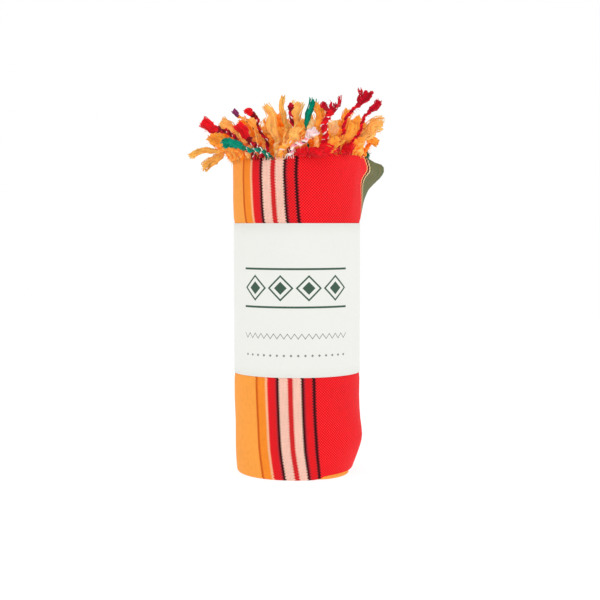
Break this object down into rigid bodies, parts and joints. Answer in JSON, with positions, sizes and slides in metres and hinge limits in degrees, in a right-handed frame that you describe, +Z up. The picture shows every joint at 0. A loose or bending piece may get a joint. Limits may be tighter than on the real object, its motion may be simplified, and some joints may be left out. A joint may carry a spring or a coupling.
{
  "type": "rolled kikoy cloth with paper band",
  "caption": "Striped cotton wrap cloth folded and rolled into an upright bundle, with twisted fringe out of the top and a plain paper band round it.",
  "frame": {"origin": "on the floor under the middle of the roll, at the underside of the rolled core", "axes": "+Z up along the roll, -Y towards the front, +X to the right, where the cloth's free end peels away"},
  "size_m": [0.1373, 0.1177, 0.2707],
  "materials": {
    "striped_cotton": "matt plain-woven cotton, red with an orange field and black, cream and olive stripes",
    "fringe_cotton": "matt twisted cotton cords with frayed ends, mostly orange",
    "band_paper": "uncoated white paper"
  },
  "bodies": {
    "root": {"outer_cloth": "striped_cotton", "folded_layers": "striped_cotton", "rolled_core": "striped_cotton", "fringe_outer": "fringe_cotton", "fringe_inner": "fringe_cotton", "paper_band": "band_paper"}
  },
  "joints": []
}
